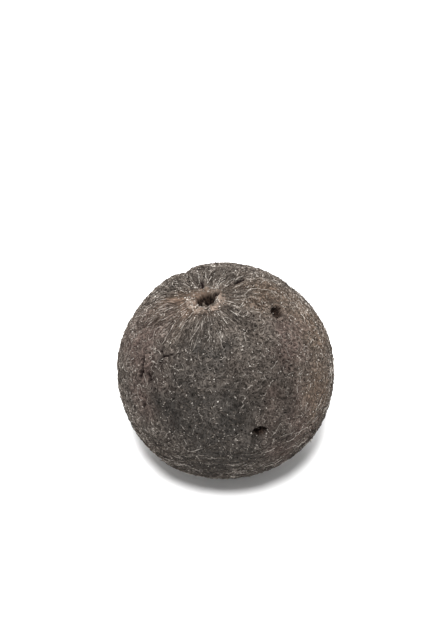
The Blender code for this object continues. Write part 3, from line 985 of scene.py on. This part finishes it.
def thread_net_tree():
    """The husk's own net: threads along the sides of uneven cells, joined where they meet. The
    cells grow round points scattered over the husk; some sides are left out. The threads
    wander, lie on the husk and dip into it here and there."""
    kinds = {"Middle": "Vector", "Radius": "Vector", "Seed": "Int"}
    kinds = {name: kinds.get(name, "Float") for name in NET_THREADS}
    tree, given, add = new_tree("thread net", {**kinds, "Material": "Material"})
    husk = given["Geometry"]
    out = add(STORED, ("out",), **VECTOR)
    here = add("GeometryNodeInputPosition")
    on_husk = {}
    for name in ("cover", "open_skin", "grey", "tan", "purple", "shade"):
        found = {"Mesh": husk, "Value": add(STORED, (name,), **NUMBER), "Sample Position": here}
        on_husk[name] = add(SURFACE, found, **NUMBER)

    # Cells are the faces between scattered points on a round hull, and threads their sides.
    scatter = {"Distance Min": given["Cell"], "Density Max": CELLS_AT_MOST, "Seed": given["Seed"]}
    middles = add(SCATTER, {"Mesh": husk, **scatter}, distribute_method="POISSON")
    round_place = add(VECTOR_MATH, (out, given["Radius"], given["Middle"]), operation="MULTIPLY_ADD")
    rounded = add(MOVE, {"Geometry": middles, "Position": round_place})
    hull = add("GeometryNodeConvexHull", (rounded,))
    cells = add("GeometryNodeDualMesh", {"Mesh": hull})
    left_in = add(MATH, (1.0, given["Left out"]), **SUBTRACT)
    chance = add(MATH, (on_husk["cover"], left_in), **MULTIPLY)
    drawn = add(RANDOM, {"Seed": given["Seed"]})
    stays = add("FunctionNodeCompare", {"A": chance, "B": drawn}, operation="GREATER_THAN")
    sides = add("GeometryNodeMeshToCurve", {"Mesh": cells, "Selection": stays})
    tone = add(RANDOM, {"Min": THREAD_TONE[0], "Max": THREAD_TONE[1], "Seed": 9})
    toned = {"Geometry": sides, "Name": "strand", "Value": tone}
    toned = add(STORE, toned, **NUMBER, domain="CURVE")
    steps = add("GeometryNodeResampleCurve", {"Curve": toned, "Length": given["Step"]}, mode="LENGTH")

    # The threads wander, come down to the husk, and rise and dip along it.
    per_metre = add(MATH, (1.0, given["Wander pitch"]), **DIVIDE)
    drift = add(NOISE, (here, per_metre, 1.0))
    curled = add(MOVE, {"Geometry": steps, "Offset": wandering(add, drift, given["Wander"])})
    landing = add(PROXIMITY, {"Geometry": husk, "Sample Position": here}, target_element="FACES")
    landed = add(MOVE, {"Geometry": curled, "Position": landing})
    rise = add(NOISE, (here, 1 / DIP_LENGTH, 1.0))
    lift = add(MATH, (add(MATH, (rise, DIP_SHARE), **SUBTRACT), given["Lift"]), **MULTIPLY)
    up = add(SURFACE, {"Mesh": husk, "Value": out, "Sample Position": here}, **VECTOR)
    offset = add(VECTOR_MATH, (up, lift), **SCALE)
    stained = add(MOVE, {"Geometry": landed, "Offset": offset})
    # The threads carry the husk's stains and its painted light and shade.
    for name in ("grey", "tan", "purple", "shade"):
        mark = {"Geometry": stained, "Name": name, "Value": on_husk[name]}
        stained = add(STORE, mark, **NUMBER, domain="POINT")
    uneven = add(RANDOM, {"Min": THREAD_UNEVEN[0], "Max": THREAD_UNEVEN[1], "Seed": 4})
    uneven = add(MATH, (uneven, on_husk["open_skin"]), **MULTIPLY)
    thickness = add(MATH, (given["Thickness"], uneven), **MULTIPLY)
    return end_in_strands(tree, stained, thickness, given["Material"])


def crumb_tree():
    """Crumbs of dried pulp: small lumps pressed flat against the husk, more where "cover" is
    high."""
    kinds = {"Crumbs per square metre": "Float", "Size": "Float", "Seed": "Int"}
    tree, given, add = new_tree("crumbs", {**kinds, "Material": "Material"})
    seeds = [add(MATH, (given["Seed"], shift), **ADD) for shift in (1, 2, 3)]
    lumps = add(RANDOM, {"Min": CRUMB_LEAST, "Max": CRUMB_MOST, "Seed": seeds[0]}, **VECTOR)
    turns = add(RANDOM, {"Min": (0.0, 0.0, 0.0), "Max": CRUMB_TURN, "Seed": seeds[1]}, **VECTOR)
    tone = add(RANDOM, {"Seed": seeds[2]})
    cover = add(STORED, ("cover",), **NUMBER)
    density = add(MATH, (given["Crumbs per square metre"], cover), **MULTIPLY)
    points = {"Mesh": given["Geometry"], "Density": density, "Seed": given["Seed"]}
    points = add(SCATTER, points)
    toned = {"Geometry": points, "Name": "strand", "Value": tone}
    toned = add(STORE, toned, **NUMBER, domain="POINT")
    ball = add("GeometryNodeMeshUVSphere", {"Segments": 6, "Rings": 4, "Radius": 0.5})
    size = add(VECTOR_MATH, (lumps, given["Size"]), **SCALE)
    turned = {"Rotation": points.node.outputs["Rotation"], "Rotate By": turns}
    turned = add("FunctionNodeRotateRotation", turned, rotation_space="LOCAL")
    laid = {"Points": toned, "Instance": ball, "Rotation": turned, "Scale": size}
    laid = add("GeometryNodeInstanceOnPoints", laid)
    crumbs = add("GeometryNodeRealizeInstances", (laid,))
    rough = add(NOISE, {"Scale": 1 / CRUMB_DENT_LENGTH, "Detail": 0.0})
    reach = add(MATH, (given["Size"], CRUMB_DENT), **MULTIPLY)
    dented = add(MOVE, {"Geometry": crumbs, "Offset": wandering(add, rough, reach)})
    return end_tree(tree, dented, given["Material"])


def colour(hex_code):
    """An sRGB hex colour as linear red, green, blue and alpha."""
    parts = [int(hex_code[i : i + 2], 16) / 255 for i in (0, 2, 4)]
    linear = [p / 12.92 if p <= 0.04045 else ((p + 0.055) / 1.055) ** 2.4 for p in parts]
    return (*linear, 1.0)


def new_material(name, **uniform):
    """A material with one Principled shader, and its uniform values by socket name."""
    material = bpy.data.materials.new(name)
    material.use_nodes = True
    shader = material.node_tree.nodes["Principled BSDF"]
    for socket, value in uniform.items():
        shader.inputs[socket.replace("_", " ")].default_value = value
    return material, shader, partial(add_node, material.node_tree)


def layered(add, marks, base, layers):
    """A colour with layers over it, each by its mark, its share and its colour. A share may be
    a mark as well, and a colour may come from other nodes."""
    base = colour(base) if isinstance(base, str) else base
    for mark, share, tint in layers:
        much = add(MATH, (marks[mark], marks.get(share, share)), **MULTIPLY)
        tint = colour(tint) if isinstance(tint, str) else tint
        base = add(MIX, (much, base, tint), data_type="RGBA")
    return base


def husk_material():
    """Dried husk: dull, grey where it was rubbed smooth and tan to purplish brown elsewhere,
    with pale crests along the curly net, dark pits between them and near black pores. The
    darkness of the pores, cracks and furrows is painted shade, and so are a line outside the
    collar and some spots among the stains; other spots are painted light."""
    material, shader, add = new_material("dried husk", Roughness=0.85, Specular_IOR_Level=0.05)
    names = (
        "tangle", "tan", "purple", "grey", "wide_net", "collar_tint", "collar_crest", "painted_collar_shadow",
        "bare", "valley", "hollow", "crack", "stub", "shade",
    )
    marks = {name: add(ATTRIBUTE, attribute_name=name).node.outputs["Fac"] for name in names}
    places = (add(ATTRIBUTE, attribute_name=name).node.outputs["Vector"] for name in ("rest", "combed"))
    rest, combed = places
    for name, (length, detail, *spread) in HUSK_CLOUDS.items():
        noise = add(NOISE, (rest, 1 / length, detail))
        marks[name] = add(RANGE, (noise, *spread), **SOFT)

    # Thin lines round cells, wandering as the net's threads do.
    wander = add(NOISE, (rest, 1 / PAINTED_WANDER_LENGTH, 1.0))
    place = add(MIX, (marks["tangle"], combed, rest), data_type="VECTOR")
    moved = add(VECTOR_MATH, (place, wandering(add, wander, PAINTED_THREAD_WANDER)))
    cells = {"Vector": moved, "Scale": 1 / PAINTED_THREAD_CELL}
    edge = add("ShaderNodeTexVoronoi", cells, feature="DISTANCE_TO_EDGE")
    width = PAINTED_THREAD_WIDTH / PAINTED_THREAD_CELL
    thread = add(RANGE, (edge, width * THREAD_CORE, width, 1.0, 0.0), **SOFT)
    thread = add(MATH, (thread, marks["threads shown"]), **MULTIPLY)

    # The net's crests, broad and fine, and paler lines on the solid's own wide net.
    where = (rest, combed, marks["tangle"])
    crest = netted(add, *where, CURL_PITCH, COMB_PITCH, CURL_WIDTH)
    crest = add(MATH, (crest, marks["crests shown"]), **MULTIPLY)
    fine = netted(add, *where, FINE_PITCH, FINE_COMB_PITCH, CURL_WIDTH)
    fine = add(MATH, (fine, marks["fine crests shown"]), **MULTIPLY)
    wide = add(MATH, (marks["wide_net"], WIDE_NET_PALE), **MULTIPLY)
    shown = crest
    for lines in (fine, wide, thread):
        shown = add(MATH, (shown, lines), **MAXIMUM)
    unrubbed = add(MATH, (1.0, add(MATH, (marks["grey"], GREY_RUBBED), **MULTIPLY)), **SUBTRACT)
    marks["shown"] = add(MATH, (shown, unrubbed), **MULTIPLY)

    # The ground and the crests follow the stains. The pores are painted dark with shade by their depth,
    # with dust mottled over it.
    ground = layered(add, marks, GROUND, GROUND_LAYERS)
    pale = layered(add, marks, PALE, PALE_LAYERS)
    place = add("ShaderNodeTexCoord").node.outputs["Object"]
    dust = add(NOISE, (place, 1 / DUST_LENGTH, 2.0))
    marks["dust"] = add(RANGE, (dust, *DUST_SPREAD), **SOFT)
    inside = layered(add, marks, PORE_SHADE_AND_DUST[0], (("dust", 1.0, PORE_SHADE_AND_DUST[1]),))
    layers = (("shown", CRESTS_PALE, pale), *STEM_LAYERS, ("hollow", 1.0, inside), *CRACK_LAYERS)
    skin = layered(add, marks, ground, layers)
    # The whole colour is scaled by the painted light and shade, mixed with soiling.
    shaded = add(VECTOR_MATH, (skin, marks["shade"]), **SCALE)
    shader.id_data.links.new(shaded, shader.inputs["Base Color"])

    grain = add(NOISE, (rest, 1 / GRAIN_LENGTH, 3.0))
    lines = add(MATH, (crest, thread), **MAXIMUM)
    lines = add(MATH, (lines, LINES_OVER_GRAIN), **MULTIPLY)
    height = add(MATH, (grain, lines), **ADD)
    bump = add("ShaderNodeBump", {"Strength": BUMP_STRENGTH, "Distance": BUMP_DEPTH, "Height": height})
    shader.id_data.links.new(bump, shader.inputs["Normal"])
    return material


def fibre_material(name, dark, mid, pale, mid_at, mottle):
    """Dried fibre: dull, from dark to pale strand by strand, most strands near the middle tint,
    mottled along its length, dimmer on the grey stains and browner on the tan ones, and lighter or
    darker with the husk's painted light and shade and soiling."""
    material, shader, add = new_material(name, Roughness=0.8, Specular_IOR_Level=0.1)
    names = ("strand", "grey", "tan", "purple", "shade")
    marks = {name: add(ATTRIBUTE, attribute_name=name).node.outputs["Fac"] for name in names}
    marks["to mid"] = add(RANGE, (marks["strand"], 0.0, mid_at, 0.0, 1.0))
    marks["to pale"] = add(RANGE, (marks["strand"], mid_at, 1.0, 0.0, 1.0))
    place = add("ShaderNodeTexCoord").node.outputs["Object"]
    noise = add(NOISE, (place, 1 / FIBRE_MOTTLE_LENGTH, 1.0))
    marks["mottles"] = add(RANGE, (noise, *FIBRE_MOTTLES, mottle))
    layers = (("to mid", 1.0, mid), ("to pale", 1.0, pale), ("mottles", 1.0, dark), *FIBRE_STAINS)
    tint = layered(add, marks, dark, layers)
    # The fibres take the same painted light and shade and soiling as the husk under them.
    shaded = add(VECTOR_MATH, (tint, marks["shade"]), **SCALE)
    shader.id_data.links.new(shaded, shader.inputs["Base Color"])
    return material


def make_camera():
    """The photograph's camera: it looks down at the seed, which sits below the picture's middle."""
    data = bpy.data.cameras.new("camera")
    camera = placed("camera", data)
    outline_angle = math.asin(OUTLINE_RADIUS / VIEW_DISTANCE)
    focal_pixels = OUTLINE_IN_PICTURE / math.tan(outline_angle)
    data.sensor_width = FILM_LONG_SIDE
    data.lens = FILM_LONG_SIDE * focal_pixels / max(PICTURE)
    data.clip_start = 1.0 * MM
    data.clip_end = 100.0
    back = Vector((0.0, -math.cos(VIEW_ELEVATION), math.sin(VIEW_ELEVATION)))
    camera.location = MIDDLE + back * VIEW_DISTANCE
    right = math.atan((MIDDLE_IN_PICTURE[0] - PICTURE[0] / 2) / focal_pixels)
    down = math.atan((MIDDLE_IN_PICTURE[1] - PICTURE[1] / 2) / focal_pixels)
    aimed = (-back).to_track_quat("-Z", "Y")
    camera.rotation_mode = "QUATERNION"
    camera.rotation_quaternion = aimed @ Euler((down, right, 0.0)).to_quaternion()
    bpy.context.scene.camera = camera


def make_floor():
    """A pale floor of matte card, which takes a soft shadow and has no gloss."""
    half = FLOOR_SIZE / 2
    mesh = bpy.data.meshes.new("floor")
    corners = [(-half, -half, 0.0), (half, -half, 0.0), (half, half, 0.0), (-half, half, 0.0)]
    mesh.from_pydata(corners, [], [(0, 1, 2, 3)])
    material, shader, _ = new_material("matte white card", Roughness=0.9)
    shader.inputs["Base Color"].default_value = colour("eeeeee")
    mesh.materials.append(material)
    floor = placed("floor", mesh)


def add_softbox(name, elevation, bearing, distance, size, watts):
    """A round softbox aimed at the seed. Its bearing turns from the picture's right."""
    data = bpy.data.lights.new(name, "AREA")
    data.shape = "DISK"
    data.size = size
    data.energy = watts
    box = placed(name, data)
    across = distance * math.cos(elevation)
    up = distance * math.sin(elevation)
    box.location = MIDDLE + Vector((across * math.cos(bearing), across * math.sin(bearing), up))
    box.rotation_mode = "QUATERNION"
    box.rotation_quaternion = (MIDDLE - box.location).to_track_quat("-Z", "Y")


def make_light():
    scene = bpy.context.scene
    scene.view_settings.view_transform = "Standard"
    world = bpy.data.worlds.new("studio")
    world.use_nodes = True
    studio = world.node_tree.nodes["Background"]
    studio.inputs["Color"].default_value = (1.0, 1.0, 1.0, 1.0)
    studio.inputs["Strength"].default_value = STUDIO_LIGHT
    scene.world = world
    for name, setting in SOFTBOXES.items():
        add_softbox(name, *setting)


def make_husk():
    """The skin with its form and its curly net, in place of the solid."""
    mesh = ball_of_squares()
    form_skin(mesh)
    sizes = {
        "Pitch": CURL_PITCH,
        "Combed pitch": COMB_PITCH,
        "Ridge width": CURL_WIDTH,
        "Ridge height": CURL_HEIGHT,
    }
    return grown("husk", mesh, curly_net_tree(), {**sizes, "Material": husk_material()})


def read(mesh, name):
    """One number for each point of a mesh, as it was stored."""
    values = np.empty(len(mesh.vertices), np.float32)
    mesh.attributes[name].data.foreach_get("value", values)
    return values


def patchy(mesh, name):
    """A coat's soft random cover over the husk, from its least share to 1."""
    share, length, seed = UNEVEN_COATS[name]
    vectors = np.empty(len(mesh.vertices) * 3, np.float32)
    mesh.attributes["out"].data.foreach_get("vector", vectors)
    field = waves(vectors.reshape(-1, 3) * MEAN_RADIUS, length, PATCH_WAVES, seed)
    return share + (1.0 - share) * (0.5 + 0.5 * np.clip(field, -1.0, 1.0))


def belt(arc, share, begins, full, thins, ends):
    """A belt round the stem in which ribs lie, at most as dense as its share."""
    return share * smooth_step(arc, begins, full) * (1.0 - smooth_step(arc, thins, ends))


def covers(mesh):
    """How thickly each coat lies at each point of the husk, by the coat's piece."""
    names = (
        "open_skin", "clear", "tangle", "grey", "off_collar", "bare", "arc", "combed_side",
        "collar_tint", "collar_bulge", "hollow", "crack",
    )
    open_skin, clear, tangle, grey, off_collar, bare, arc, side, tint, bulge, hollow, crack = (
        read(mesh, name) for name in names
    )
    ground = open_skin * clear
    unrubbed = 1.0 - RUBBED_OFF * grey
    in_combed = LONG_IN_COMBED + (1.0 - LONG_IN_COMBED) * tangle
    ribs = belt(arc, *STEM_BELT) + belt(arc, *LOW_BELT) + belt(arc, *SIDE_BELT) * side
    crumbs = open_skin * patchy(mesh, "crumbs") + CRUMBS_ON_COLLAR * tint + CRUMBS_ON_BULGE * bulge
    return {
        "thread_net": tangle * clear * (1.0 - NET_RUBBED * grey) * (open_skin > NET_SKIN_OPEN),
        "fibres_fine": ground * patchy(mesh, "fibres_fine") * tangle,
        "fibres_short": ground * tangle,
        "fibres_long": ground * unrubbed * patchy(mesh, "fibres_long") * in_combed * off_collar,
        "fibres_combed": ground * (1.0 - tangle) * (1.0 - COMBED_OFF_BARE * bare),
        "fibres_ribs": ribs * (1.0 - bare) * clear,
        "fibre_ends": open_skin * tangle,
        "crumbs": crumbs * clear + CRUMBS_IN_PORES * hollow * (1.0 - crack),
    }


def make_coats(husk):
    """Everything that lies on the husk: a copy of it for each piece, put through a tree."""
    fibre = fibre_material("dried fibre", *DRIED_FIBRE)
    matted = fibre_material("matted dried fibre", *MATTED_FIBRE)
    pulp = fibre_material("dried pulp", *DRIED_PULP)
    strands = strand_tree()
    coats = {"thread_net": (thread_net_tree(), {**NET_THREADS, "Material": fibre})}
    for name, sizes in FIBRES.items():
        material = matted if name in MATTED_COATS else fibre
        values = dict(zip(FIBRE_INPUTS, sizes))
        values.update({length: values[length] * MM for length in FIBRE_LENGTHS})
        coats[name] = (strands, {**values, "Material": material})
    coats["crumbs"] = (crumb_tree(), {**CRUMBS, "Material": pulp})
    thickness = covers(husk.data)
    pieces = []
    for name, (tree, values) in coats.items():
        mesh = husk.data.copy()
        store(mesh, "cover", thickness[name])
        pieces.append(grown(name, mesh, tree, values))
    return pieces


make_camera()
make_floor()
make_light()
husk = make_husk()
for piece in (husk, *make_coats(husk)):
    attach(piece, "root")
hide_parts("seed")
